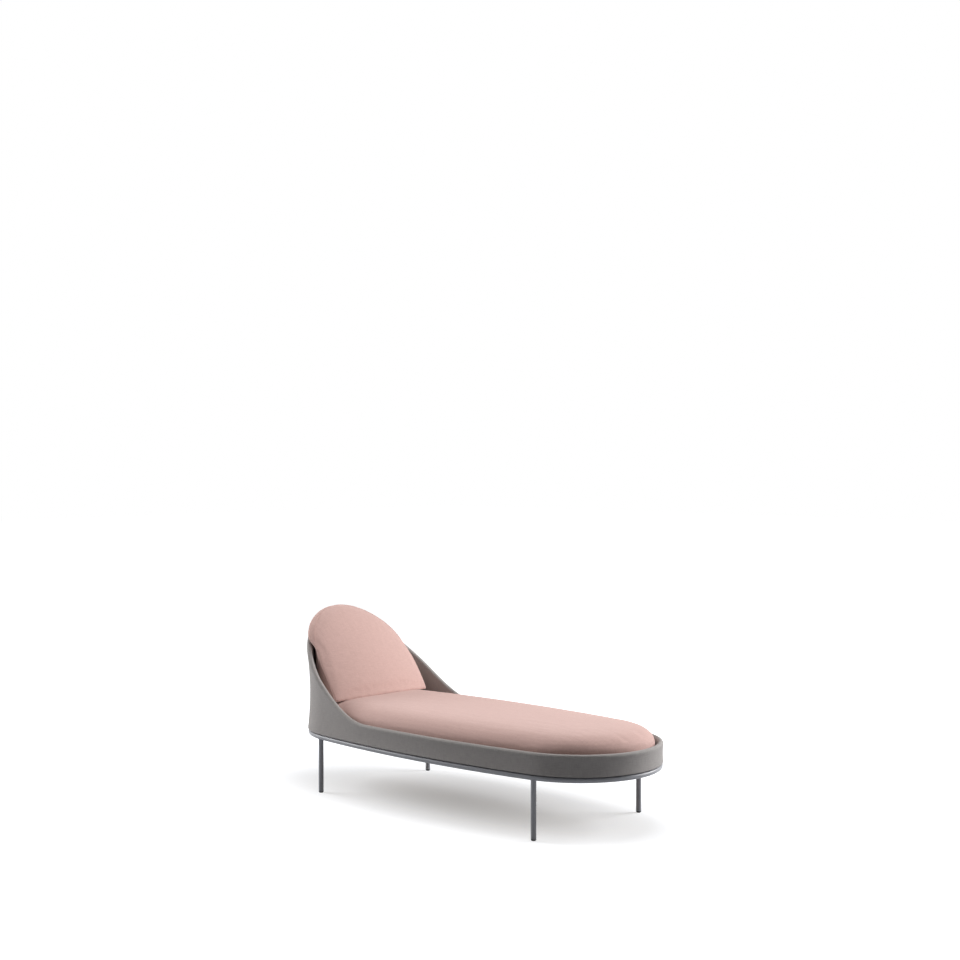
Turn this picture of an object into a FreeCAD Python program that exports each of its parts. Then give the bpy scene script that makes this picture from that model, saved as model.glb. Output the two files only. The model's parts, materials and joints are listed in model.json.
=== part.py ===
"""Outdoor chaise longue: oval tube base, upholstered shell with a sweeping rim, loose seat and back cushions.

Millimetres, +Z up, head end at -X, near side at -Y. The origin is on the floor under the ring's middle.
"""
import FreeCAD
import Part
import Sketcher
import os
from math import acos, asin, atan2, cos, pi, radians, sin

from FreeCAD import Placement, Rotation, Vector

DIMENSIONS = {
    "ring_length": 2000,
    "ring_width": 850,
    "ring_height": 269,
    "end_radius": 370,
    "tube_diameter": 24,
    "tube_wall": 2,
    "leg_station": 687,
    "glide_height": 8,
    "glide_foot": 16,
    "plug_length": 14,
    "plug_clearance": 0.1,
    "bar_width": 30,
    "bar_height": 20,
    "bar_wall": 2,
    "bar_spacing": 427,
    "pad_size": 30,
    "pad_inset": 40,
    "shell_gap": 2,
    "shell_overhang": 2,
    "deck_thickness": 10,
    "deck_margin": 3.5,
    "wall_thickness": 25,
    "core_thickness": 5,
    "rim_low": 377,
    "rim_high": 825,
    "rim_sweep": 875,
    "waist": 16,
    "cushion_gap": 18,
    "seat_girth": 335,
    "seat_crown": 446,
    "seat_tuck": 14,
    "back_round_low": 331,
    "back_round_high": 360,
    "back_width": 606,
    "back_face": 520,
    "back_foot": 592,
    "back_recline": 40.3,
    "back_crown": 30,
    "back_tuck": 14,
    "soft_clearance": 0.5,
}

doc = FreeCAD.newDocument("ChaiseLongue")
sheet = doc.addObject("Spreadsheet::Sheet", "Size")
for row, (alias, value) in enumerate(DIMENSIONS.items(), start=1):
    sheet.set(f"A{row}", alias)
    sheet.set(f"B{row}", str(value))
    sheet.setAlias(f"B{row}", alias)
doc.recompute()


def size(alias):
    """A driving dimension, read from the sheet."""
    return float(sheet.get(alias))


# The plan is an oval of four tangent arcs, measured on the middle of the ring's tube
tube_radius = size("tube_diameter") / 2
half_length = size("ring_length") / 2 - tube_radius
half_width = size("ring_width") / 2 - tube_radius
end_radius = size("end_radius")
end_centre = half_length - end_radius
side_radius = (end_centre**2 + half_width**2 - end_radius**2) / (2 * (half_width - end_radius))
side_centre = side_radius - half_width
end_angle = atan2(side_centre, end_centre)
end_arc = end_radius * end_angle
side_arc = side_radius * (pi / 2 - end_angle)
quarter = end_arc + side_arc

# Heights of what is stacked on the ring, and the wall's faces measured outward from the tube's middle
ring_top = size("ring_height") + tube_radius
shell_bottom = ring_top + size("shell_gap")
deck_top = shell_bottom + size("deck_thickness")
wall_outer = tube_radius + size("shell_overhang")
wall_inner = wall_outer - size("wall_thickness")
wall_middle = (wall_outer + wall_inner) / 2
core_half = size("core_thickness") / 2

# Stations round the oval: close together on the ends and where the rim climbs, far apart along the sides
HEAD_STEPS = 7
CLIMB_STEPS = 4
LEVEL_STEPS = 4
FOOT_STEPS = 6

nodes = []


def keep(thing, label):
    """Name a finished sub-part."""
    thing.Label = label
    nodes.append(thing)
    return thing


def keep_shape(shape, label, height=0):
    """Finished sub-part whose shape is built round its own base point, on the middle line at a height."""
    thing = doc.addObject("Part::Feature", f"{label}_form")
    thing.Shape = shape
    thing.Placement = Placement(Vector(0, 0, height), Rotation())
    return keep(thing, label)


def bind(thing, rules):
    """Tie properties of an object to the sheet."""
    for name, rule in rules.items():
        thing.setExpression(name, rule)


def station(distance):
    """Point on the ring's centreline and outward direction, an arc length from the head's middle."""
    far = 1 if distance >= 0 else -1
    along = abs(distance)
    toward = -1
    if along > quarter:
        along = 2 * quarter - along
        toward = 1
    if along <= end_arc:
        angle = along / end_radius
        outward = Vector(toward * cos(angle), far * sin(angle), 0)
        point = Vector(toward * end_centre, 0, 0) + outward * end_radius
    else:
        angle = end_angle + (along - end_arc) / side_radius
        outward = Vector(toward * cos(angle), far * sin(angle), 0)
        point = Vector(0, -far * side_centre, 0) + outward * side_radius
    return point, outward


def arc_length(x):
    """Arc length from the head's middle to the ring's far side at a place along the object."""
    if abs(x) > end_centre + end_radius * cos(end_angle):
        end_part = end_radius * acos((abs(x) - end_centre) / end_radius)
        return end_part if x < 0 else 2 * quarter - end_part
    return quarter + side_radius * asin(x / side_radius)


def round_stations():
    """Arc lengths from the head's middle, once round the oval."""
    marks = (0, end_arc, size("rim_sweep"), 2 * quarter - end_arc, 2 * quarter)
    counts = (HEAD_STEPS, CLIMB_STEPS, LEVEL_STEPS, FOOT_STEPS)
    half = []
    for start, stop, count in zip(marks, marks[1:], counts):
        half += [start + (stop - start) * step / count for step in range(count)]
    return half + [marks[-1]] + [-distance for distance in reversed(half[1:])]


def loft_round(section):
    """Closed solid through the sections that stand square to the oval at each station."""
    return Part.makeLoft([section(distance) for distance in round_stations()], True, True, True)


def tube_section(radius):
    """Round section of the ring's tube."""
    def section(distance):
        point, outward = station(distance)

        def place(angle):
            return point + outward * (radius * cos(angle)) + Vector(0, 0, radius * sin(angle))

        third = 2 * pi / 3
        starts = (0, third, 2 * third)
        arcs = [Part.Arc(place(start), place(start + third / 2), place(start + third)) for start in starts]
        return Part.Wire([arc.toShape() for arc in arcs])
    return section


# The shell's wall, in heights above the shell's bottom
def rim_height(distance):
    """Height of the rim's top: level, then climbing to the head's middle as a raised cosine."""
    low = size("rim_low") - shell_bottom
    rise = size("rim_high") - size("rim_low")
    climb = max(0, 1 - abs(distance) / size("rim_sweep"))
    return low + rise * (1 - cos(pi * climb)) / 2


def face(offset, foot, top):
    """Foot, middle and top of a wall face, drawn in at the middle by the waist where the wall is tall."""
    tallest = size("rim_high") - shell_bottom
    drawn_in = size("waist") * (top - foot) / tallest
    return [(offset, foot), (offset - drawn_in, (foot + top) / 2), (offset, top)]


def straight(points):
    """Straight edges through points."""
    return list(zip(points, points[1:]))


def crest(half_thickness, top):
    """Two quarter circles over the wall's middle, from the outer face to the inner one."""
    slant = half_thickness * cos(pi / 4)
    outer = (wall_middle + half_thickness, top)
    inner = (wall_middle - half_thickness, top)
    peak = (wall_middle, top + half_thickness)
    first = (outer, (wall_middle + slant, top + slant), peak)
    second = (peak, (wall_middle - slant, top + slant), inner)
    return first, second


def wall_wire(distance, edges):
    """Closed wire through lines (two points) and arcs (three points) given as (offset, height)."""
    point, outward = station(distance)
    shapes = []
    for edge in edges:
        places = [point + outward * offset + Vector(0, 0, height) for offset, height in edge]
        kind = Part.LineSegment if len(places) == 2 else Part.Arc
        shapes.append(kind(*places).toShape())
    return Part.Wire(shapes)


def core_faces(distance):
    """Outer face, then inner face, of the stiff wall that stands on the deck's edge."""
    foot = size("deck_thickness")
    top = rim_height(distance) - size("wall_thickness") / 2
    return face(wall_middle + core_half, foot, top), face(wall_middle - core_half, foot, top)


def core_section(distance):
    """Stiff wall of one thickness."""
    outer, inner = core_faces(distance)
    return wall_wire(distance, straight(outer + inner[::-1] + outer[:1]))


def padding_section(distance):
    """Padding folded over the core: the outer leg covers the deck's edge, the inner leg stands on the deck."""
    half_thickness = size("wall_thickness") / 2
    top = rim_height(distance) - half_thickness
    outer = face(wall_outer, 0, top)
    inner = face(wall_inner, size("deck_thickness"), top)
    slot_outer, slot_inner = core_faces(distance)
    hem = (slot_outer[0][0], 0)
    fold = [*inner[::-1], *slot_inner, *slot_outer[::-1], hem, outer[0]]
    return wall_wire(distance, [outer, *crest(half_thickness, top), *straight(fold)])


def oval(offset, height):
    """Closed wire of four arcs, parallel to the ring's centreline."""
    end = end_radius + offset
    corner = Vector(end_centre + end * cos(end_angle), end * sin(end_angle), height)
    tip = Vector(end_centre + end, 0, height)
    flank = Vector(0, side_radius + offset - side_centre, height)

    def mirrored(point, x_sign, y_sign):
        return Vector(x_sign * point.x, y_sign * point.y, height)

    arcs = [
        Part.Arc(mirrored(corner, 1, -1), tip, corner),
        Part.Arc(corner, flank, mirrored(corner, -1, 1)),
        Part.Arc(mirrored(corner, -1, 1), mirrored(tip, -1, 1), mirrored(corner, -1, -1)),
        Part.Arc(mirrored(corner, -1, -1), mirrored(flank, 1, -1), mirrored(corner, 1, -1)),
    ]
    return Part.Wire([arc.toShape() for arc in arcs])


# The seat cushion
CROWN_STEPS = (0, 22, 45, 66, 82)
CROWN_POWER = 4


def crown_height(degrees):
    """Height of the seat cushion's crown above the deck."""
    dome = size("seat_crown") - size("seat_girth")
    return size("seat_girth") - deck_top + dome * sin(radians(degrees)) ** (2 / CROWN_POWER)


def seat_form():
    """Seat cushion: tucked bottom, full girth, then a crown that follows a superellipse across the width."""
    outline = wall_inner - size("cushion_gap")
    reach = half_width + outline
    sections = [oval(outline - size("seat_tuck"), 0)]
    for degrees in CROWN_STEPS:
        inset = reach * (1 - cos(radians(degrees)) ** (2 / CROWN_POWER))
        sections.append(oval(outline - inset, crown_height(degrees)))
    return Part.makeLoft(sections, True, True)


# Rules that tie sketches and primitives to the sheet
TUBE_RADIUS = "Size.tube_diameter / 2"
HALF_WIDTH = f"(Size.ring_width / 2 - {TUBE_RADIUS})"
END_CENTRE = f"(Size.ring_length / 2 - {TUBE_RADIUS} - Size.end_radius)"
BULGE = f"(2 * ({HALF_WIDTH} - Size.end_radius))"
SIDE_RADIUS = f"(({END_CENTRE}^2 + {HALF_WIDTH}^2 - Size.end_radius^2) / {BULGE})"


def ring_run(name, distance):
    """The straight run of the ring's tube at an arc length, for copes, and the point on it."""
    stations = sorted(round_stations())
    first = max(mark for mark in stations if mark <= distance)
    last = min(mark for mark in stations if mark > distance)
    start = station(first)[0]
    along = station(last)[0] - start
    run = doc.addObject("Part::Cylinder", f"{name}_run")
    bind(run, {"Radius": TUBE_RADIUS})
    run.Height = along.Length
    run.Placement = Placement(start + Vector(0, 0, size("ring_height")), Rotation(Vector(0, 0, 1), along))
    return run, start + along * ((distance - first) / (last - first))


def cut(name, base, tool):
    """One solid less another."""
    result = doc.addObject("Part::Cut", name)
    result.Base = base
    result.Tool = tool
    return result


def new_body(label, placement):
    """Body with a place of its own."""
    body = doc.addObject("PartDesign::Body", f"{label}_body")
    body.Placement = placement
    return body


def new_sketch(body, name, role):
    """Sketch on one of the body's own origin planes."""
    plane = next(part for part in body.Origin.OriginFeatures if part.Role == role)
    sketch = body.newObject("Sketcher::SketchObject", name)
    sketch.AttachmentSupport = [(plane, "")]
    sketch.MapMode = "FlatFace"
    return sketch


def hold(sketch, kind, places, value, name, rule):
    """Dimension in a sketch that follows the sheet."""
    index = sketch.addConstraint(Sketcher.Constraint(kind, *places, value))
    sketch.renameConstraint(index, name)
    sketch.setExpression(f"Constraints.{name}", rule)


def draw_oval(sketch, offset, rule):
    """Four tangent arcs, parallel to the ring's centreline."""
    end = end_radius + offset
    side = side_radius + offset
    up = Vector(0, 0, 1)
    spans = [
        (Vector(end_centre, 0, 0), end, -end_angle, end_angle),
        (Vector(0, -side_centre, 0), side, end_angle, pi - end_angle),
        (Vector(-end_centre, 0, 0), end, pi - end_angle, pi + end_angle),
        (Vector(0, side_centre, 0), side, pi + end_angle, 2 * pi - end_angle),
    ]
    for centre, radius, start, stop in spans:
        sketch.addGeometry(Part.ArcOfCircle(Part.Circle(centre, up, radius), start, stop), False)
    for arc in range(len(spans)):
        sketch.addConstraint(Sketcher.Constraint("Tangent", arc, 2, (arc + 1) % len(spans), 1))
    for first, second in ((0, 2), (1, 3)):
        sketch.addConstraint(Sketcher.Constraint("Equal", first, second))
    for arc, axis in ((0, -1), (2, -1), (1, -2)):
        sketch.addConstraint(Sketcher.Constraint("PointOnObject", arc, 3, axis))
    hold(sketch, "Radius", (0,), end, "end", f"Size.end_radius + {rule}")
    hold(sketch, "Radius", (1,), side, "side", f"{SIDE_RADIUS} + {rule}")
    hold(sketch, "DistanceX", (-1, 1, 0, 3), end_centre, "centre", END_CENTRE)


def draw_lines(sketch, points):
    """Closed outline of straight edges, joined at their ends."""
    closed = [Vector(x, y, 0) for x, y in points + points[:1]]
    for start, stop in zip(closed, closed[1:]):
        sketch.addGeometry(Part.LineSegment(start, stop), False)
    for edge in range(len(points)):
        sketch.addConstraint(Sketcher.Constraint("Coincident", edge, 2, (edge + 1) % len(points), 1))


def make_legs():
    """Straight tube legs, coped to the ring's underside and closed by moulded glides."""
    glides = []
    for end, x_sign in ENDS.items():
        for side, y_sign in SIDES.items():
            name = f"leg_{end}_{side}"
            distance = y_sign * arc_length(x_sign * size("leg_station"))
            run, foot = ring_run(name, distance)
            outside = doc.addObject("Part::Cylinder", f"{name}_outside")
            bore = doc.addObject("Part::Cylinder", f"{name}_bore")
            length = "Size.ring_height - Size.glide_height"
            bind(outside, {"Radius": TUBE_RADIUS, "Height": length})
            bind(bore, {"Radius": f"{TUBE_RADIUS} - Size.tube_wall", "Height": length})
            tube = cut(f"{name}_tube", outside, bore)
            tube.Placement = Placement(foot + Vector(0, 0, size("glide_height")), Rotation())
            keep(cut(f"{name}_coped", tube, run), name)
            glides.append(make_glide(f"glide_{end}_{side}", Placement(foot, Rotation())))
    moulded = doc.addObject("Part::Compound", "glide_set")
    moulded.Links = glides
    keep(moulded, "leg_glides")


def make_glide(label, placement):
    """Turned plug: a foot with a bevelled edge under the leg and a stem inside it."""
    body = new_body(label, placement)
    sketch = new_sketch(body, f"{label}_profile", "XZ_Plane")
    foot = size("glide_foot") / 2
    stem = tube_radius - size("tube_wall") - size("plug_clearance")
    bevel = tube_radius - foot
    shoulder = size("glide_height")
    top = shoulder + size("plug_length")
    draw_lines(sketch, [(0, 0), (foot, 0), (tube_radius, bevel), (tube_radius, shoulder),
                        (stem, shoulder), (stem, top), (0, top)])
    sketch.addConstraint(Sketcher.Constraint("Coincident", 0, 1, -1, 1))
    for edge in (0, 3, 5):
        sketch.addConstraint(Sketcher.Constraint("Horizontal", edge))
    for edge in (2, 4, 6):
        sketch.addConstraint(Sketcher.Constraint("Vertical", edge))
    hold(sketch, "DistanceX", (0, 1, 0, 2), foot, "foot", "Size.glide_foot / 2")
    hold(sketch, "DistanceX", (-1, 1, 1, 2), tube_radius, "rim", TUBE_RADIUS)
    hold(sketch, "DistanceY", (-1, 1, 1, 2), bevel, "bevel", f"{TUBE_RADIUS} - Size.glide_foot / 2")
    hold(sketch, "DistanceY", (-1, 1, 2, 2), shoulder, "shoulder", "Size.glide_height")
    stem_rule = f"{TUBE_RADIUS} - Size.tube_wall - Size.plug_clearance"
    hold(sketch, "DistanceX", (-1, 1, 3, 2), stem, "stem", stem_rule)
    hold(sketch, "DistanceY", (-1, 1, 4, 2), top, "top", "Size.glide_height + Size.plug_length")
    turned = body.newObject("PartDesign::Revolution", f"{label}_turned")
    turned.Profile = sketch
    turned.ReferenceAxis = (sketch, ["V_Axis"])
    turned.Angle = 360
    return body


def make_cross_bars():
    """Box tubes across the ring, coped to its sides, with the rubber pads that carry the shell."""
    for index, name in enumerate(BARS):
        x = (index - (len(BARS) - 1) / 2) * size("bar_spacing")
        runs = {side: ring_run(f"{name}_{side}", y_sign * arc_length(x)) for side, y_sign in SIDES.items()}
        reach = runs["far"][1].y
        outside = doc.addObject("Part::Box", f"{name}_outside")
        bore = doc.addObject("Part::Box", f"{name}_bore")
        for box, walls in ((outside, 0), (bore, 2)):
            box.Width = 2 * reach
            bind(box, {
                "Length": f"Size.bar_width - {walls} * Size.bar_wall",
                "Height": f"Size.bar_height - {walls} * Size.bar_wall",
            })
            across = (size("bar_width") - walls * size("bar_wall")) / 2
            below = (size("bar_height") - walls * size("bar_wall")) / 2
            box.Placement = Placement(Vector(x - across, -reach, size("ring_height") - below), Rotation())
        bar = cut(f"{name}_tube", outside, bore)
        for side, (run, _) in runs.items():
            bar = cut(f"{name}_coped_{side}", bar, run)
            make_pad(f"{name.replace('bar', 'pad')}_{side}", x, SIDES[side] * (reach - size("pad_inset")))
        keep(bar, name)


def make_pad(label, x, y):
    """Rubber block between a cross bar and the deck."""
    pad = doc.addObject("Part::Box", f"{label}_block")
    bar_top = "Size.ring_height + Size.bar_height / 2"
    bind(pad, {
        "Length": "Size.pad_size",
        "Width": "Size.pad_size",
        "Height": f"Size.ring_height + {TUBE_RADIUS} + Size.shell_gap - ({bar_top})",
        "Placement.Base.z": bar_top,
    })
    half = size("pad_size") / 2
    pad.Placement = Placement(Vector(x - half, y - half, 0), Rotation())
    keep(pad, label)


def make_deck():
    """Oval board that carries the wall's core and the seat cushion."""
    body = new_body("seat_deck", Placement(Vector(0, 0, shell_bottom), Rotation()))
    outline = new_sketch(body, "deck_outline", "XY_Plane")
    edge = f"{TUBE_RADIUS} + Size.shell_overhang - Size.wall_thickness / 2 + Size.core_thickness / 2"
    draw_oval(outline, wall_middle + core_half - size("deck_margin"), f"{edge} - Size.deck_margin")
    board = body.newObject("PartDesign::Pad", "deck_board")
    board.Profile = outline
    bind(board, {"Length": "Size.deck_thickness"})
    keep(body, "seat_deck")


def make_back_cushion():
    """Wedge of foam in the round head end: a domed front that leans back, flat sides, drawn-in edges."""
    face_length = size("back_face")
    crown = size("back_crown")
    lean = radians(size("back_recline"))
    uphill = Vector(-sin(lean), 0, cos(lean))
    outward = Vector(cos(lean), 0, sin(lean))
    foot = Vector(-size("back_foot"), 0, 0)
    dome_radius = (face_length**2 / 4 + crown**2) / (2 * crown)

    behind = doc.addObject("Part::Cone", "back_round")
    radii = {"Radius1": "Size.back_round_low", "Radius2": "Size.back_round_high"}
    bind(behind, {**radii, "Height": "Size.back_face"})
    behind.Placement = Placement(Vector(-end_centre, 0, 0), Rotation())
    sides = doc.addObject("Part::Box", "back_sides")
    bind(sides, {"Length": "Size.ring_length / 2", "Width": "Size.back_width", "Height": "Size.back_face"})
    sides.Placement = Placement(Vector(-size("ring_length") / 2, -size("back_width") / 2, 0), Rotation())
    dome = doc.addObject("Part::Sphere", "back_dome")
    bind(dome, {"Radius": "(Size.back_face^2 / 4 + Size.back_crown^2) / (2 * Size.back_crown)"})
    centre = foot + uphill * (face_length / 2) + outward * (crown - dome_radius)
    dome.Placement = Placement(centre, Rotation(Vector(0, 0, 1), 180))

    wedge = doc.addObject("Part::MultiCommon", "back_wedge")
    wedge.Shapes = [behind, sides, dome]
    bottom = deck_top + crown_height(CROWN_STEPS[-1]) + size("soft_clearance")
    wedge.Placement = Placement(Vector(0, 0, bottom), Rotation())
    doc.recompute()
    soft = doc.addObject("Part::Chamfer", "back_soft")
    soft.Base = wedge
    tuck = size("back_tuck")
    soft.Edges = [(number, tuck, tuck) for number in range(1, len(wedge.Shape.Edges) + 1)]
    keep(soft, "back_cushion")


def make_ring():
    """Closed oval of bent tube, sealed all round and so left solid."""
    keep_shape(loft_round(tube_section(tube_radius)), "base_ring", size("ring_height"))


def check_and_write():
    """Stop on any failed object, then write one file for each sub-part."""
    doc.recompute()
    for thing in doc.Objects:
        assert not {"Invalid", "Error"} & set(thing.State), f"{thing.Name} failed"
    for node in nodes:
        assert not node.Shape.isNull() and node.Shape.isValid(), f"{node.Label} has no valid shape"
    os.makedirs("parts", exist_ok=True)
    for node in nodes:
        node.Shape.exportStep(f"parts/{node.Label}.step")


ENDS = {"head": -1, "foot": 1}
SIDES = {"near": -1, "far": 1}
BARS = ("cross_bar_head", "cross_bar_rear", "cross_bar_front", "cross_bar_foot")

make_ring()
make_legs()
make_cross_bars()
make_deck()
keep_shape(loft_round(core_section), "shell_core", shell_bottom)
keep_shape(loft_round(padding_section), "shell_padding", shell_bottom)
keep_shape(seat_form(), "seat_cushion", deck_top)
make_back_cushion()
check_and_write()
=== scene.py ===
import json

import bmesh
import bpy
import numpy as np
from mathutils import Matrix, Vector
from mathutils.bvhtree import BVHTree


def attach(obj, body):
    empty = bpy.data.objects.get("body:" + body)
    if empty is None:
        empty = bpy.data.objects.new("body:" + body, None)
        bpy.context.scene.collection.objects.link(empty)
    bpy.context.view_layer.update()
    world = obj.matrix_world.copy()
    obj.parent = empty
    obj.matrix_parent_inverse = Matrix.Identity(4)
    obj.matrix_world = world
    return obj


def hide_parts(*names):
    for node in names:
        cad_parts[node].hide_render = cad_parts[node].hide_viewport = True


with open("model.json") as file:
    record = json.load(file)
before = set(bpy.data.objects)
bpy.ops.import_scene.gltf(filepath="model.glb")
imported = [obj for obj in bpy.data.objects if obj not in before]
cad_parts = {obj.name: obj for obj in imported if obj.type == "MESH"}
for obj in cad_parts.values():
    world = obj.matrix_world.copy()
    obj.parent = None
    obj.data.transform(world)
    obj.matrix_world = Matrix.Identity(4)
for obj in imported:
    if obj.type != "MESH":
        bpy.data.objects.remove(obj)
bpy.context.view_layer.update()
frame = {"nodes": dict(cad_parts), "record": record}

# Sizes in metres. Those of hard parts are the solids', and the soft covers are a little fuller than theirs.
# The head is at -X, the near side at -Y, and the floor at 0.
TUBE_RADIUS = 0.012
RING_HEIGHT = 0.269
HALF_LENGTH = 0.988
HALF_WIDTH = 0.413
END_RADIUS = 0.370
BAR_BOTTOM = 0.259
SHELL_BOTTOM = 0.283
DECK_THICKNESS = 0.010
WALL_OUTER = 0.014
WALL_THICKNESS = 0.025
RIM_LOW = 0.377
RIM_HIGH = 0.825
RIM_SWEEP = 0.875
WAIST = 0.016
FLARE = 0.008
HEM_RADIUS = 0.004
FOLD_OFFSET = 0.0035
SEAT_GAP = 0.009
SEAT_FORWARD = 0.006
SEAT_GIRTH = 0.335
SEAT_CROWN = 0.446
SEAT_TUCK = 0.014
CROWN_POWER = 4
BACK_BOTTOM = 0.446
BACK_ROUND_LOW = 0.334
BACK_ROUND_HIGH = 0.363
BACK_WIDTH = 0.634
BACK_FACE = 0.520
BACK_FOOT = 0.592
BACK_RECLINE = np.radians(40.3)
BACK_CROWN = 0.030
BACK_UNDERSIDE = 3.0
BACK_INSIDE = (-0.79, 0, 0.575)
WELD_REACH = 0.0122
WELD_LINE = 0.0124
WELD_RADIUS = 0.0016
SEAT_CORD = 0.0016
BACK_CORD = 0.0014

# Where the back cover settles over the rim: how far, from how far below the rim's top and over which rise, how
# deep into the cushion, above which height and over which rise, and how far from the middle it is whole
RIM_OVERHANG = 0.042
SETTLE_BELOW = 0.01
SETTLE_RISE = 0.03
SETTLE_DEPTH = 0.06
SETTLE_FLOOR = 0.66
SETTLE_FADE = 0.08
SETTLE_FLANK = 0.2

# The camera, fitted to the photograph's feet and ring
FOCAL_PIXELS = 1560.5
PICTURE_PIXELS = 960
SENSOR_WIDTH = 36

# The oval's four tangent arcs, on the middle of the ring's tube
END_CENTRE = HALF_LENGTH - END_RADIUS
SIDE_RADIUS = (END_CENTRE**2 + HALF_WIDTH**2 - END_RADIUS**2) / (2 * (HALF_WIDTH - END_RADIUS))
SIDE_CENTRE = SIDE_RADIUS - HALF_WIDTH
END_ANGLE = np.arctan2(SIDE_CENTRE, END_CENTRE)
END_ARC = END_RADIUS * END_ANGLE
QUARTER = END_ARC + SIDE_RADIUS * (np.pi / 2 - END_ANGLE)
DECK_TOP = SHELL_BOTTOM + DECK_THICKNESS
WALL_INNER = WALL_OUTER - WALL_THICKNESS
WALL_MIDDLE = (WALL_OUTER + WALL_INNER) / 2


def ring_line(distance):
    """Point and outward direction in plan, an arc length from the head's middle: an end arc up to END_ARC, then a
    side arc up to QUARTER, mirrored for the foot half and for the near side."""
    far = np.where(distance >= 0, 1.0, -1.0)
    along = np.abs(distance)
    toward = np.where(along > QUARTER, 1.0, -1.0)
    along = np.where(along > QUARTER, 2 * QUARTER - along, along)
    on_end = along <= END_ARC
    angle = np.where(on_end, along / END_RADIUS, END_ANGLE + (along - END_ARC) / SIDE_RADIUS)
    outward = np.stack([toward * np.cos(angle), far * np.sin(angle)], -1)
    nothing = np.zeros_like(angle)
    end = np.stack([toward * END_CENTRE, nothing], -1)
    side = np.stack([nothing, -far * SIDE_CENTRE], -1)
    centre = np.where(on_end[..., None], end, side)
    return centre + outward * np.where(on_end, END_RADIUS, SIDE_RADIUS)[..., None], outward


def once_round(count):
    """Arc lengths once round the oval, starting at the foot's middle."""
    return np.linspace(-2 * QUARTER, 2 * QUARTER, count, endpoint=False)


def carried_round(distance, offset, height):
    """Profile carried round the oval: each row of offsets and heights stands square to the oval at its distance."""
    point, outward = ring_line(distance)
    plan = point[:, None, :] + outward[:, None, :] * offset[..., None]
    return np.concatenate([plan, height[..., None]], -1)


def add_piece(name, points, uv=None, wrap=(True, True), caps=False):
    """Mesh over a grid of points, closed along the wrapped directions, with a flat end over the first and the last
    column if caps are asked for."""
    rows, columns = points.shape[:2]
    row, column = np.meshgrid(
        np.arange(rows if wrap[0] else rows - 1),
        np.arange(columns if wrap[1] else columns - 1),
        indexing="ij",
    )
    corner_row = np.stack([row, row + 1, row + 1, row], -1)
    corner_column = np.stack([column, column, column + 1, column + 1], -1)
    faces = ((corner_row % rows) * columns + corner_column % columns).reshape(-1, 4).tolist()
    if caps:
        first = np.arange(rows) * columns
        faces += [first.tolist(), (first + columns - 1).tolist()]
    mesh = bpy.data.meshes.new(name)
    mesh.from_pydata(points.reshape(-1, 3).tolist(), [], faces)
    if uv is not None:
        layer = mesh.uv_layers.new(name="cloth")
        layer.data.foreach_set("uv", uv[corner_row, corner_column].astype(np.float32).ravel())
    face_outward(mesh)
    mesh.shade_smooth()
    piece = bpy.data.objects.new(name, mesh)
    bpy.context.scene.collection.objects.link(piece)
    return piece


def face_outward(mesh):
    """Merge what meets at a pole and turn every face outwards."""
    work = bmesh.new()
    work.from_mesh(mesh)
    bmesh.ops.remove_doubles(work, verts=work.verts, dist=1e-6)
    bmesh.ops.recalc_face_normals(work, faces=work.faces)
    work.to_mesh(mesh)
    work.free()


def tube_round(path, radius, sides):
    """Round tube on a closed path: a circle in the plane of each point's normal and binormal."""
    tangent = np.roll(path, -1, 0) - np.roll(path, 1, 0)
    tangent /= np.linalg.norm(tangent, axis=1, keepdims=True)
    across = np.cross(tangent, [0.0, 0.0, 1.0])
    across /= np.linalg.norm(across, axis=1, keepdims=True)
    upward = np.cross(across, tangent)
    angle = np.linspace(0, 2 * np.pi, sides, endpoint=False)
    circle = across[:, None] * np.cos(angle)[:, None] + upward[:, None] * np.sin(angle)[:, None]
    return path[:, None] + radius * circle


def cord(name, path, radius):
    """Cord on a closed path, with its cloth coordinates along and around it."""
    points = tube_round(path, radius, 10)
    step = np.linalg.norm(np.roll(path, -1, 0) - path, axis=1)
    along = np.concatenate([[0], np.cumsum(step)])[:, None] * np.ones(11)
    around = np.ones((len(path) + 1, 1)) * np.linspace(0, 2 * np.pi * radius, 11)
    return add_piece(name, points, np.stack([along, around], -1))


def rim_height(distance):
    """Height of the rim's top above the shell's bottom: level, then a raised cosine up to the head's middle."""
    climb = np.maximum(0, 1 - np.abs(distance) / RIM_SWEEP)
    return RIM_LOW - SHELL_BOTTOM + (RIM_HIGH - RIM_LOW) * (1 - np.cos(np.pi * climb)) / 2


def wall_face(offset, foot, top, share):
    """Wall face from foot to top: a parabola that draws in by the waist at mid height, and a flare that grows as the
    square of the height, both in proportion to the wall's height."""
    tall = (top - foot) / (RIM_HIGH - SHELL_BOTTOM)
    drawn_in = WAIST * tall * (1 - (2 * share - 1) ** 2)
    return offset - drawn_in + FLARE * tall**2 * share**2, foot + (top - foot) * share


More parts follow.
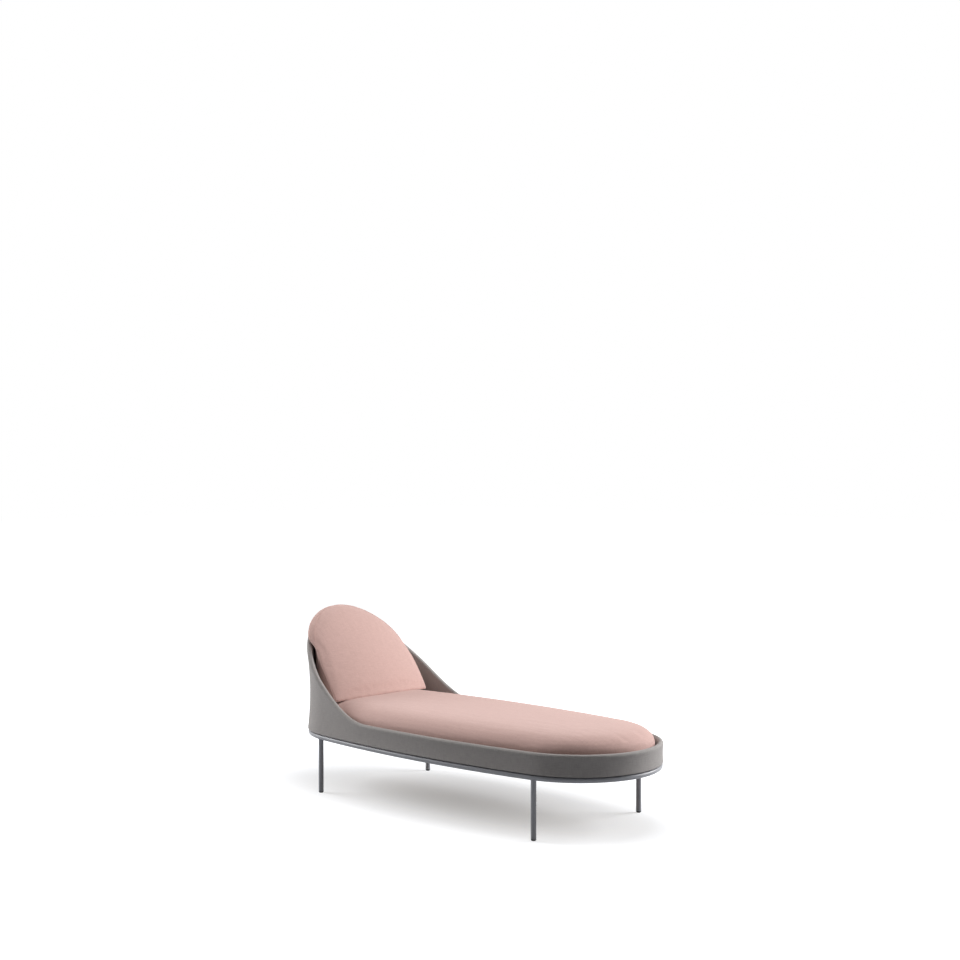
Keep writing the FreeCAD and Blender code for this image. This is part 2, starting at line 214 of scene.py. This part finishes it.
def shell_cover():
    """Fabric over the padded wall: rolled hem, outer face, half-round crest, inner face, and the fold under the
    foam."""
    distance = once_round(600)
    half = WALL_THICKNESS / 2
    top = (rim_height(distance) - half)[:, None]
    quarter = np.linspace(-np.pi / 2, 0, 6)[None]
    crest = np.linspace(0, np.pi, 19)[None, 1:-1]
    ones = np.ones_like(top)
    hem = (ones * (WALL_OUTER - HEM_RADIUS + HEM_RADIUS * np.cos(quarter)),
           ones * (HEM_RADIUS + HEM_RADIUS * np.sin(quarter)))
    rise = np.linspace(0, 1, 22)[None]
    outer = wall_face(WALL_OUTER, HEM_RADIUS * ones, top, rise[:, 1:])
    lean = FLARE * (top / (RIM_HIGH - SHELL_BOTTOM)) ** 2
    over = (WALL_MIDDLE + lean + half * np.cos(crest), top + half * np.sin(crest))
    inner = wall_face(WALL_INNER, DECK_THICKNESS * ones, top, rise[:, ::-1])
    fold = (ones * [[FOLD_OFFSET, FOLD_OFFSET]], ones * [[DECK_THICKNESS, 0.0]])
    offset, height = (np.concatenate(parts, 1) for parts in zip(hem, outer, over, inner, fold))
    points = carried_round(distance, offset, SHELL_BOTTOM + height)
    step = np.linalg.norm(np.diff(points, axis=1, append=points[:, :1]), axis=2)
    girth = np.concatenate([np.zeros((len(points), 1)), np.cumsum(step, 1)], 1)
    along = np.append(distance, 2 * QUARTER)[:, None] * np.ones(girth.shape[1])
    uv = np.stack([along, np.concatenate([girth, girth[:1]])], -1)
    return add_piece("shell_cover", points, uv)


def seat_blank(shrink):
    """Seat cushion before it swells: flat bottom, tucked lower edge, full girth, and a superellipse crown whose inset
    goes as 1 - cos(a)^(1/2) and whose height goes as sin(a)^(1/2)."""
    outline = WALL_INNER - SEAT_GAP - shrink
    reach = HALF_WIDTH + outline
    angle = np.radians(np.linspace(0, 88, 40))
    crown_inset = reach * (1 - np.cos(angle) ** (2 / CROWN_POWER))
    crown_height = SEAT_GIRTH + (SEAT_CROWN - SEAT_GIRTH - shrink) * np.sin(angle) ** (2 / CROWN_POWER)
    bottom = DECK_TOP + shrink / 2
    flat_inset = np.linspace(0.85 * reach, SEAT_TUCK, 10)
    tuck_height = bottom + (SEAT_GIRTH - bottom) * np.array([0.3, 0.65])
    inset = np.concatenate([flat_inset, [0.4 * SEAT_TUCK, 0.1 * SEAT_TUCK], crown_inset])
    height = np.concatenate([np.full(10, bottom), tuck_height, crown_height])
    distance = once_round(480)
    ones = np.ones((len(distance), 1))
    points = carried_round(distance, outline - ones * inset, ones * height) + [SEAT_FORWARD, 0, 0]
    return add_piece("seat_fabric", points, wrap=(True, False), caps=True)


# The back cushion's domed face: a ball through its foot and head
FACE_UPHILL = np.array([-np.sin(BACK_RECLINE), 0, np.cos(BACK_RECLINE)])
FACE_OUTWARD = np.array([np.cos(BACK_RECLINE), 0, np.sin(BACK_RECLINE)])
FACE_MIDDLE = np.array([-BACK_FOOT, 0, BACK_BOTTOM]) + FACE_UPHILL * BACK_FACE / 2
BACK_BALL = (BACK_FACE**2 / 4 + BACK_CROWN**2) / (2 * BACK_CROWN)
BACK_FLARE = (BACK_ROUND_HIGH - BACK_ROUND_LOW) / BACK_FACE


def back_round(height):
    """Radius of the back cushion's round side, a cone that opens upwards with the wall."""
    return BACK_ROUND_LOW + (BACK_ROUND_HIGH - BACK_ROUND_LOW) * (height - BACK_BOTTOM) / BACK_FACE


def back_reach(origin, direction, shrink):
    """Distance along each direction to the five sides of the back cushion: the head's round, the two flat sides, the
    ball of the domed front, and the bottom, which lies on the seat's crown as z = bottom - y^2 / 2R."""
    def to_round(centre, size, flare):
        flat = np.array([1, 1, -flare**2]) if flare is not None else np.ones(3)
        start = origin - centre
        square = (direction**2 * flat).sum(-1)
        half = (direction * start * flat).sum(-1) - (0 if flare is None else flare * size * direction[..., 2])
        rest = (start**2 * flat).sum() - size**2 if flare is None else start[0]**2 + start[1]**2 - size**2
        met = square > 1e-6
        square = np.where(met, square, 1.0)
        return np.where(met, (-half + np.sqrt(np.maximum(half**2 - square * rest, 0))) / square, np.inf)

    def to_plane(normal, place):
        rate = direction @ normal
        return np.where(rate > 1e-6, (place - origin @ normal) / np.maximum(rate, 1e-6), np.inf)

    def to_seat():
        bend = direction[..., 1] ** 2 / (2 * BACK_UNDERSIDE)
        down = -direction[..., 2]
        room = origin[2] - BACK_BOTTOM - shrink
        left = down**2 - 4 * bend * room
        met = (left > 0) & (down > 1e-6)
        return np.where(met, 2 * room / (down + np.sqrt(np.maximum(left, 0)) + 1e-9), np.inf)

    return np.stack([
        to_round(np.array([-END_CENTRE, 0, origin[2]]), back_round(origin[2]) - shrink, BACK_FLARE),
        to_round(FACE_MIDDLE + FACE_OUTWARD * (BACK_CROWN - BACK_BALL), BACK_BALL - shrink, None),
        to_plane(np.array([0.0, 1.0, 0.0]), BACK_WIDTH / 2 - shrink),
        to_plane(np.array([0.0, -1.0, 0.0]), BACK_WIDTH / 2 - shrink),
        to_seat(),
    ])


def back_blank(shrink, softness):
    """Back cushion before it swells: from a point inside, the distance in each direction is the five sides' distances
    joined as (sum of d^-p)^(-1/p), which rounds every edge. Above the rim its round side settles out over the wall."""
    origin = np.array(BACK_INSIDE)
    turn = np.linspace(0, 2 * np.pi, 360, endpoint=False)[:, None]
    tilt = np.linspace(0, np.pi, 181)[None]
    direction = np.stack([np.sin(tilt) * np.cos(turn), np.cos(tilt) + 0 * turn, np.sin(tilt) * np.sin(turn)], -1)
    reach = (back_reach(origin, direction, shrink) ** -softness).sum(0) ** (-1 / softness)
    points = origin + direction * reach[..., None]
    x, y, z = points[..., 0] + END_CENTRE, points[..., 1], points[..., 2]
    away = np.hypot(x, y)
    rim = SHELL_BOTTOM + rim_height(np.arctan2(np.abs(y), -x) * END_RADIUS)
    above = np.clip((z - rim + SETTLE_BELOW) / SETTLE_RISE, 0, 1)
    outside = np.clip(1 - (back_round(z) - away) / SETTLE_DEPTH, 0, 1)
    high = np.clip((z - SETTLE_FLOOR) / SETTLE_FADE, 0, 1)
    flank = 0.5 + 0.5 * np.clip(np.abs(y) / SETTLE_FLANK, 0, 1)
    settled = RIM_OVERHANG * flank * above**2 * (3 - 2 * above) * outside**2 * high**2 * (3 - 2 * high)
    points[..., :2] += np.stack([x, y], -1) * (settled / np.maximum(away, 1e-6))[..., None]
    return add_piece("back_fabric", points, wrap=(True, False))


def face_edge(count):
    """Closed line where the domed face meets the sides, the head's round and the bottom, found by halving a step
    outwards from the middle of the face in each direction."""
    turn = np.linspace(0, 2 * np.pi, count, endpoint=False)
    heading = np.cos(turn)[:, None] * np.array([0.0, 1.0, 0.0]) + np.sin(turn)[:, None] * FACE_UPHILL

    def place(reach):
        lift = BACK_CROWN - BACK_BALL + np.sqrt(BACK_BALL**2 - reach**2)
        return FACE_MIDDLE + heading * reach[:, None] + FACE_OUTWARD * lift[:, None]

    reach = np.zeros(count)
    for step in 0.3 / 2.0 ** np.arange(22):
        x, y, z = place(reach + step).T
        inside = np.hypot(x + END_CENTRE, y) < back_round(z)
        inside &= np.abs(y) < BACK_WIDTH / 2
        inside &= z > BACK_BOTTOM - y**2 / (2 * BACK_UNDERSIDE)
        reach = np.where(inside, reach + step, reach)
    return place(reach)


def swell(piece, voxel, most):
    """Even mesh of a blank, then cloth under pressure for 20 frames, with no point moved further than most."""
    remesh = piece.modifiers.new("even", "REMESH")
    remesh.mode = "VOXEL"
    remesh.voxel_size = voxel
    remesh.use_smooth_shade = True
    even = bpy.data.meshes.new_from_object(piece.evaluated_get(bpy.context.evaluated_depsgraph_get()))
    piece.modifiers.clear()
    piece.data = even
    rest = read_points(even)
    cloth = piece.modifiers.new("pressure", "CLOTH")
    cloth.settings.quality = 4
    cloth.settings.mass = 0.4
    cloth.settings.tension_stiffness = 12
    cloth.settings.compression_stiffness = 12
    cloth.settings.shear_stiffness = 6
    cloth.settings.bending_stiffness = 2
    cloth.settings.use_pressure = True
    cloth.settings.uniform_pressure_force = 4
    cloth.settings.effector_weights.gravity = 0
    cloth.point_cache.frame_start = 1
    cloth.point_cache.frame_end = 20
    for step in range(1, 21):
        bpy.context.scene.frame_set(step)
    moved = read_points(piece.evaluated_get(bpy.context.evaluated_depsgraph_get()).data) - rest
    length = np.linalg.norm(moved, axis=1, keepdims=True)
    moved *= np.minimum(1, most / np.maximum(length, 1e-9))
    piece.modifiers.clear()
    even.vertices.foreach_set("co", (rest + moved).astype(np.float32).ravel())
    bpy.context.scene.frame_set(1)
    even.update()
    even.shade_smooth()
    lay_cloth(even)
    smooth = piece.modifiers.new("smooth", "SUBSURF")
    smooth.levels = smooth.render_levels = 1
    return piece


def read_points(mesh):
    """A mesh's points as an array."""
    points = np.empty(len(mesh.vertices) * 3, np.float32)
    mesh.vertices.foreach_get("co", points)
    return points.reshape(-1, 3).astype(float)


def lay_cloth(mesh):
    """Cut the cover from flat panels: each face takes its cloth coordinates, in metres, from the two axes that it lies
    along most."""
    corners = np.empty(len(mesh.loops), np.int32)
    mesh.loops.foreach_get("vertex_index", corners)
    counts = np.empty(len(mesh.polygons), np.int32)
    mesh.polygons.foreach_get("loop_total", counts)
    normals = np.empty(len(mesh.polygons) * 3, np.float32)
    mesh.polygons.foreach_get("normal", normals)
    facing = np.repeat(np.abs(normals.reshape(-1, 3)).argmax(1), counts)
    panel = np.array([[1, 2], [0, 2], [0, 1]])[facing]
    points = read_points(mesh)[corners]
    layer = mesh.uv_layers.new(name="cloth")
    layer.data.foreach_set("uv", np.take_along_axis(points, panel, 1).astype(np.float32).ravel())


def on_surface(piece, path):
    """Each point of a path, moved to the nearest place on a piece."""
    tree = BVHTree.FromObject(piece, bpy.context.evaluated_depsgraph_get())
    return np.array([tree.find_nearest(Vector(point))[0] for point in path])


# The base: the ring as one smooth bend, and small steel parts
def base_ring():
    """Bent tube: a circle carried round the oval."""
    angle = np.linspace(0, 2 * np.pi, 40, endpoint=False)[None]
    distance = once_round(480)
    ones = np.ones((len(distance), 1))
    offset = ones * TUBE_RADIUS * np.cos(angle)
    height = RING_HEIGHT + ones * TUBE_RADIUS * np.sin(angle)
    return add_piece("ring_tube", carried_round(distance, offset, height))


def weld_bead(name, x, y):
    """Bead round the top of a leg: a circle a little wider than the leg, lifted onto the underside of the ring's
    tube as z = ring - sqrt(R^2 - n^2), where n is the distance from the tube's middle."""
    nearby = once_round(4000)
    point, outward = ring_line(nearby)
    normal = outward[np.hypot(*(point - [x, y]).T).argmin()]
    along = np.array([-normal[1], normal[0]])
    angle = np.linspace(0, 2 * np.pi, 48, endpoint=False)[:, None]
    across = WELD_REACH * np.sin(angle)
    plan = [x, y] + WELD_REACH * np.cos(angle) * along + across * normal
    height = RING_HEIGHT - np.sqrt(WELD_LINE**2 - across**2)
    return add_piece(name, tube_round(np.concatenate([plan, height], 1), WELD_RADIUS, 8))


def pan_screw(name, x, y):
    """Pan-head screw under a bar: a turned profile of radius and drop, with a round socket."""
    radius = np.array([0, 0.0021, 0.0022, 0.0035, 0.0048, 0.0055, 0.0056, 0.0056])
    drop = np.array([0.0014, 0.0014, 0.0030, 0.0029, 0.0021, 0.0008, 0.0, -0.0003])
    angle = np.linspace(0, 2 * np.pi, 28, endpoint=False)[:, None]
    points = np.stack([x + radius * np.cos(angle), y + radius * np.sin(angle), BAR_BOTTOM - drop + 0 * angle], -1)
    return add_piece(name, points, wrap=(True, False))


# Materials
def linear(colour):
    """sRGB hex to linear values."""
    value = np.array([int(colour[place:place + 2], 16) for place in (1, 3, 5)]) / 255
    value = np.where(value <= 0.04045, value / 12.92, ((value + 0.055) / 1.055) ** 2.4)
    return (*value.tolist(), 1.0)


def add_node(tree, kind, inputs=None, **settings):
    """Add a node, set its properties, and set or link its inputs: a tuple of node and output name is a link."""
    node = tree.nodes.new(kind)
    for name, value in settings.items():
        setattr(node, name, value)
    for name, value in (inputs or {}).items():
        if isinstance(value, tuple) and isinstance(value[0], bpy.types.Node):
            tree.links.new(value[0].outputs[value[1]], node.inputs[name])
        else:
            node.inputs[name].default_value = value
    return node


def new_material(name):
    """Empty material with its output."""
    material = bpy.data.materials.new(name)
    material.use_nodes = True
    material.node_tree.nodes.clear()
    return material, material.node_tree


def woven_canvas(name, dark, light, thread, sheen, crease):
    """Woven solution-dyed acrylic: soft, matt, with a plain weave, slubs along both threads, slack creases where it is
    filled, and a faint halo of fibre. The threads are about three times as coarse as the real 0.8 mm so that they
    show."""
    material, tree = new_material(name)
    cloth = add_node(tree, "ShaderNodeUVMap", uv_map="cloth")
    split = add_node(tree, "ShaderNodeSeparateXYZ", {"Vector": (cloth, "UV")})
    waves = []
    for axis in ("X", "Y"):
        phase = add_node(tree, "ShaderNodeMath", {0: (split, axis), 1: np.pi / thread}, operation="MULTIPLY")
        waves.append(add_node(tree, "ShaderNodeMath", {0: (phase, "Value")}, operation="SINE"))
    weave = add_node(tree, "ShaderNodeMath", {0: (waves[0], "Value"), 1: (waves[1], "Value")}, operation="MULTIPLY")
    slubs = []
    for stretch in ((30.0, 400.0, 1.0), (400.0, 30.0, 1.0)):
        placed = add_node(tree, "ShaderNodeMapping", {"Vector": (cloth, "UV"), "Scale": stretch})
        slubs.append(add_node(tree, "ShaderNodeTexNoise", {"Vector": (placed, "Vector"), "Scale": 1.0, "Detail": 2.0}))
    melange = add_node(tree, "ShaderNodeMath", {0: (slubs[0], "Fac"), 1: (slubs[1], "Fac")}, operation="ADD")
    tone = add_node(tree, "ShaderNodeMath", {0: (weave, "Value"), 1: 0.12, 2: (melange, "Value")},
                    operation="MULTIPLY_ADD")
    shade = add_node(tree, "ShaderNodeMapRange", {"Value": (tone, "Value"), "From Min": 0.55, "From Max": 1.45})
    colour = add_node(tree, "ShaderNodeMix", {0: (shade, "Result"), 6: linear(dark), 7: linear(light)},
                      data_type="RGBA")
    relief = add_node(tree, "ShaderNodeMath", {0: (melange, "Value"), 1: 0.6, 2: (weave, "Value")},
                      operation="MULTIPLY_ADD")
    placed = add_node(tree, "ShaderNodeMapping", {"Vector": (cloth, "UV"), "Rotation": (0, 0, 0.5),
                                                  "Scale": (5.0, 22.0, 1.0)})
    slack = add_node(tree, "ShaderNodeTexNoise", {"Vector": (placed, "Vector"), "Scale": 1.0, "Detail": 3.0})
    folds = add_node(tree, "ShaderNodeBump", {"Height": (slack, "Fac"), "Strength": 1.0, "Distance": crease})
    bump = add_node(tree, "ShaderNodeBump", {"Height": (relief, "Value"), "Strength": 0.35, "Distance": 0.0004,
                                             "Normal": (folds, "Normal")})
    shader = add_node(tree, "ShaderNodeBsdfPrincipled", {
        "Base Color": (colour, "Result"), "Roughness": 0.92, "Specular IOR Level": 0.25, "Sheen Weight": sheen,
        "Sheen Roughness": 0.5, "Normal": (bump, "Normal")})
    add_node(tree, "ShaderNodeOutputMaterial", {"Surface": (shader, "BSDF")})
    return material


def powder_coat(name, colour):
    """Polyester powder coat on aluminium: satin, with the shallow orange peel of baked powder, about 1.5 mm across."""
    material, tree = new_material(name)
    place = add_node(tree, "ShaderNodeTexCoord")
    peel = add_node(tree, "ShaderNodeTexNoise", {"Vector": (place, "Object"), "Scale": 1 / 0.0015, "Detail": 2.0})
    cloud = add_node(tree, "ShaderNodeTexNoise", {"Vector": (place, "Object"), "Scale": 1 / 0.06, "Detail": 3.0})
    rough = add_node(tree, "ShaderNodeMapRange", {"Value": (cloud, "Fac"), "From Min": 0.3, "From Max": 0.7,
                                                  "To Min": 0.34, "To Max": 0.44})
    bump = add_node(tree, "ShaderNodeBump", {"Height": (peel, "Fac"), "Strength": 0.12, "Distance": 0.0002})
    shader = add_node(tree, "ShaderNodeBsdfPrincipled", {
        "Base Color": linear(colour), "Roughness": (rough, "Result"), "IOR": 1.5, "Normal": (bump, "Normal")})
    add_node(tree, "ShaderNodeOutputMaterial", {"Surface": (shader, "BSDF")})
    return material


def moulded(name, dark, light, roughness, grit):
    """Moulded polymer: dull, with a fine spark-eroded grain and a little dust in it."""
    material, tree = new_material(name)
    place = add_node(tree, "ShaderNodeTexCoord")
    grain = add_node(tree, "ShaderNodeTexNoise", {"Vector": (place, "Object"), "Scale": 1 / grit, "Detail": 3.0})
    colour = add_node(tree, "ShaderNodeMix", {0: (grain, "Fac"), 6: linear(dark), 7: linear(light)}, data_type="RGBA")
    bump = add_node(tree, "ShaderNodeBump", {"Height": (grain, "Fac"), "Strength": 0.3, "Distance": 0.0002})
    shader = add_node(tree, "ShaderNodeBsdfPrincipled", {
        "Base Color": (colour, "Result"), "Roughness": roughness, "IOR": 1.5, "Normal": (bump, "Normal")})
    add_node(tree, "ShaderNodeOutputMaterial", {"Surface": (shader, "BSDF")})
    return material


def stainless(name):
    """Turned stainless steel: bright metal with fine tool marks."""
    material, tree = new_material(name)
    place = add_node(tree, "ShaderNodeTexCoord")
    marks = add_node(tree, "ShaderNodeTexNoise", {"Vector": (place, "Object"), "Scale": 1 / 0.0006, "Detail": 2.0})
    rough = add_node(tree, "ShaderNodeMapRange", {"Value": (marks, "Fac"), "To Min": 0.22, "To Max": 0.42})
    shader = add_node(tree, "ShaderNodeBsdfPrincipled", {
        "Base Color": linear("#B9B7B2"), "Metallic": 1.0, "Roughness": (rough, "Result")})
    add_node(tree, "ShaderNodeOutputMaterial", {"Surface": (shader, "BSDF")})
    return material


def birch_plywood(name):
    """Sealed birch plywood: pale face veneer with long figure along the board and a thin satin varnish."""
    material, tree = new_material(name)
    place = add_node(tree, "ShaderNodeTexCoord")
    long_grain = add_node(tree, "ShaderNodeMapping", {"Vector": (place, "Object"), "Scale": (1.5, 30.0, 30.0)})
    figure = add_node(tree, "ShaderNodeTexNoise", {"Vector": (long_grain, "Vector"), "Scale": 1.0, "Detail": 6.0,
                                                   "Distortion": 0.6})
    pores = add_node(tree, "ShaderNodeMapping", {"Vector": (place, "Object"), "Scale": (40.0, 900.0, 900.0)})
    fine = add_node(tree, "ShaderNodeTexNoise", {"Vector": (pores, "Vector"), "Scale": 1.0, "Detail": 2.0})
    colour = add_node(tree, "ShaderNodeMix", {0: (figure, "Fac"), 6: linear("#B08A5E"), 7: linear("#D9BE94")},
                      data_type="RGBA")
    bump = add_node(tree, "ShaderNodeBump", {"Height": (fine, "Fac"), "Strength": 0.2, "Distance": 0.0002})
    shader = add_node(tree, "ShaderNodeBsdfPrincipled", {
        "Base Color": (colour, "Result"), "Roughness": 0.5, "IOR": 1.5, "Normal": (bump, "Normal")})
    add_node(tree, "ShaderNodeOutputMaterial", {"Surface": (shader, "BSDF")})
    return material


grey_canvas = woven_canvas("warm_grey_woven_acrylic", "#96918F", "#ADA8A5", 0.0024, 0.15, 0.0003)
pink_canvas = woven_canvas("pale_pink_woven_acrylic", "#C6A29A", "#D8B6AE", 0.0024, 0.2, 0.0025)
satin_grey = powder_coat("satin_grey_powder_coat", "#8F9096")
black_nylon = moulded("black_moulded_nylon", "#17181A", "#26272A", 0.5, 0.0012)
black_rubber = moulded("black_rubber", "#141414", "#202020", 0.8, 0.002)
plywood = birch_plywood("sealed_birch_plywood")
steel = stainless("turned_stainless_steel")

# Pieces on their bodies
shell = shell_cover()
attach(shell, "base")
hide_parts("shell_padding")
shell.data.materials.append(grey_canvas)

ring = base_ring()
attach(ring, "base")
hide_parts("base_ring")
ring.data.materials.append(satin_grey)

seat = swell(seat_blank(shrink=0.002), voxel=0.012, most=0.005)
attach(seat, "seat")
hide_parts("seat_cushion")
seat.data.materials.append(pink_canvas)

back = swell(back_blank(shrink=0.001, softness=40), voxel=0.007, most=0.004)
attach(back, "back")
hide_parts("back_cushion")
back.data.materials.append(pink_canvas)

seat_line = carried_round(once_round(400), np.full((400, 1), WALL_INNER - SEAT_GAP), np.full((400, 1), SEAT_GIRTH))
seat_seam = on_surface(seat, seat_line[:, 0] + [SEAT_FORWARD, 0, 0])
back_seam = on_surface(back, face_edge(300))
seams = [("seat", cord("seat_seam", seat_seam, SEAT_CORD)), ("back", cord("back_seam", back_seam, BACK_CORD))]
for body, seam in seams:
    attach(seam, body)
    seam.data.materials.append(pink_canvas)


def middle(name):
    """Middle of a solid, in plan."""
    return read_points(frame["nodes"][name].data)[:, :2].mean(0)


for name in list(frame["nodes"]):
    if name.startswith("cross_pad"):
        small, finish = pan_screw(name.replace("cross_pad", "screw"), *middle(name)), steel
    elif name.startswith("leg_") and name != "leg_glides":
        small, finish = weld_bead(name.replace("leg", "weld"), *middle(name)), satin_grey
    else:
        continue
    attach(small, "base")
    small.data.materials.append(finish)

finishes = {"tube": satin_grey, "glide": black_nylon, "pad": black_rubber, "board": plywood,
            "shell_fabric": grey_canvas, "cushion_fabric": pink_canvas}
for subpart in frame["record"]["subparts"]:
    node = frame["nodes"][subpart["node"]]
    node.data.materials.clear()
    node.data.materials.append(finishes[subpart["material_slot"]])


# Studio: pale floor, a soft lamp behind each side, one overhead, and a white surround
def add_floor():
    """Pale floor that keeps the lamps' shadow, lifted where the camera, a reflection or glass sees it. The lift is
    least under the middle, which paints a shadow there on top of the cast one, and grows to white outside an ellipse."""
    floor = add_piece("floor", np.array([[[-30, -30, 0], [-30, 30, 0]], [[30, -30, 0], [30, 30, 0]]], float),
                      wrap=(False, False))
    material, tree = new_material("pale_floor_with_painted_shadow")
    light = add_node(tree, "ShaderNodeLightPath")
    seen = add_node(tree, "ShaderNodeMath", {0: (light, "Is Camera Ray"), 1: (light, "Is Glossy Ray")},
                    operation="ADD")
    seen = add_node(tree, "ShaderNodeMath", {0: (seen, "Value"), 1: (light, "Is Transmission Ray")},
                    operation="ADD")
    place = add_node(tree, "ShaderNodeTexCoord")
    # Painted shadow: an ellipse set a little towards the far side and drawn out along the seat. The lift is 0.25 at
    # its middle and smoothly reaches white at its edge, so the floor under the object is darker than the lamps alone
    # make it.
    plan = add_node(tree, "ShaderNodeMapping", {"Vector": (place, "Object"), "Location": (0.042, -0.053, 0.0),
                                                 "Scale": (0.42, 1.06, 1.0)})
    away = add_node(tree, "ShaderNodeVectorMath", {0: (plan, "Vector")}, operation="LENGTH")
    level = add_node(tree, "ShaderNodeMapRange", {"Value": (away, "Value"), "From Min": 0.0, "From Max": 1.0,
                                                  "To Min": 0.25, "To Max": 1.0}, interpolation_type="SMOOTHSTEP")
    lift = add_node(tree, "ShaderNodeMath", {0: (seen, "Value"), 1: (level, "Result")}, operation="MULTIPLY")
    paint = add_node(tree, "ShaderNodeBsdfDiffuse", {"Color": linear("#BABCC0")})
    white_lift_with_painted_shadow = add_node(tree, "ShaderNodeEmission", {"Color": (1, 1, 1, 1), "Strength": (lift, "Value")})
    both = add_node(tree, "ShaderNodeAddShader", {0: (paint, "BSDF"), 1: (white_lift_with_painted_shadow, "Emission")})
    add_node(tree, "ShaderNodeOutputMaterial", {"Surface": (both, "Shader")})
    floor.data.materials.append(material)


def add_world(strength):
    """White surround for the camera and for reflections, and a dim even fill for everything else."""
    world = bpy.data.worlds.new("studio")
    bpy.context.scene.world = world
    world.use_nodes = True
    tree = world.node_tree
    tree.nodes.clear()
    light = add_node(tree, "ShaderNodeLightPath")
    seen = add_node(tree, "ShaderNodeMath", {0: (light, "Is Camera Ray"), 1: (light, "Is Glossy Ray")},
                    operation="MAXIMUM")
    seen = add_node(tree, "ShaderNodeMath", {0: (seen, "Value"), 1: (light, "Is Transmission Ray")},
                    operation="MAXIMUM")
    level = add_node(tree, "ShaderNodeMapRange", {"Value": (seen, "Value"), "To Min": strength, "To Max": 1.0})
    sky = add_node(tree, "ShaderNodeBackground", {"Color": (1, 1, 1, 1), "Strength": (level, "Result")})
    add_node(tree, "ShaderNodeOutputWorld", {"Surface": (sky, "Background")})


def add_lamp(name, place, aim, size, power):
    """Square soft box turned to a point."""
    lamp = bpy.data.lights.new(name, "AREA")
    lamp.size = size
    lamp.energy = power
    holder = bpy.data.objects.new(name, lamp)
    holder.location = place
    holder.rotation_euler = (Vector(aim) - Vector(place)).to_track_quat("-Z", "Y").to_euler()
    bpy.context.scene.collection.objects.link(holder)


add_floor()
add_world(0.03)
add_lamp("head_lamp", (-4.5, -2.0, 2.6), (0, 0, 0.4), 3.0, 205)
add_lamp("far_lamp", (2.9, 4.4, 2.6), (0, 0, 0.4), 3.0, 350)
add_lamp("top_lamp", (0.5, 0.2, 4.5), (0, 0, 0.4), 2.6, 87)

camera = bpy.data.objects.new("camera", bpy.data.cameras.new("camera"))
camera.data.sensor_width = SENSOR_WIDTH
camera.data.lens = FOCAL_PIXELS * SENSOR_WIDTH / PICTURE_PIXELS
camera.location = (5.058, -5.291, 1.637)
camera.rotation_euler = np.radians((90 - 0.944, 0, 43.54))
bpy.context.scene.collection.objects.link(camera)
bpy.context.scene.camera = camera
bpy.context.scene.view_settings.view_transform = "Standard"
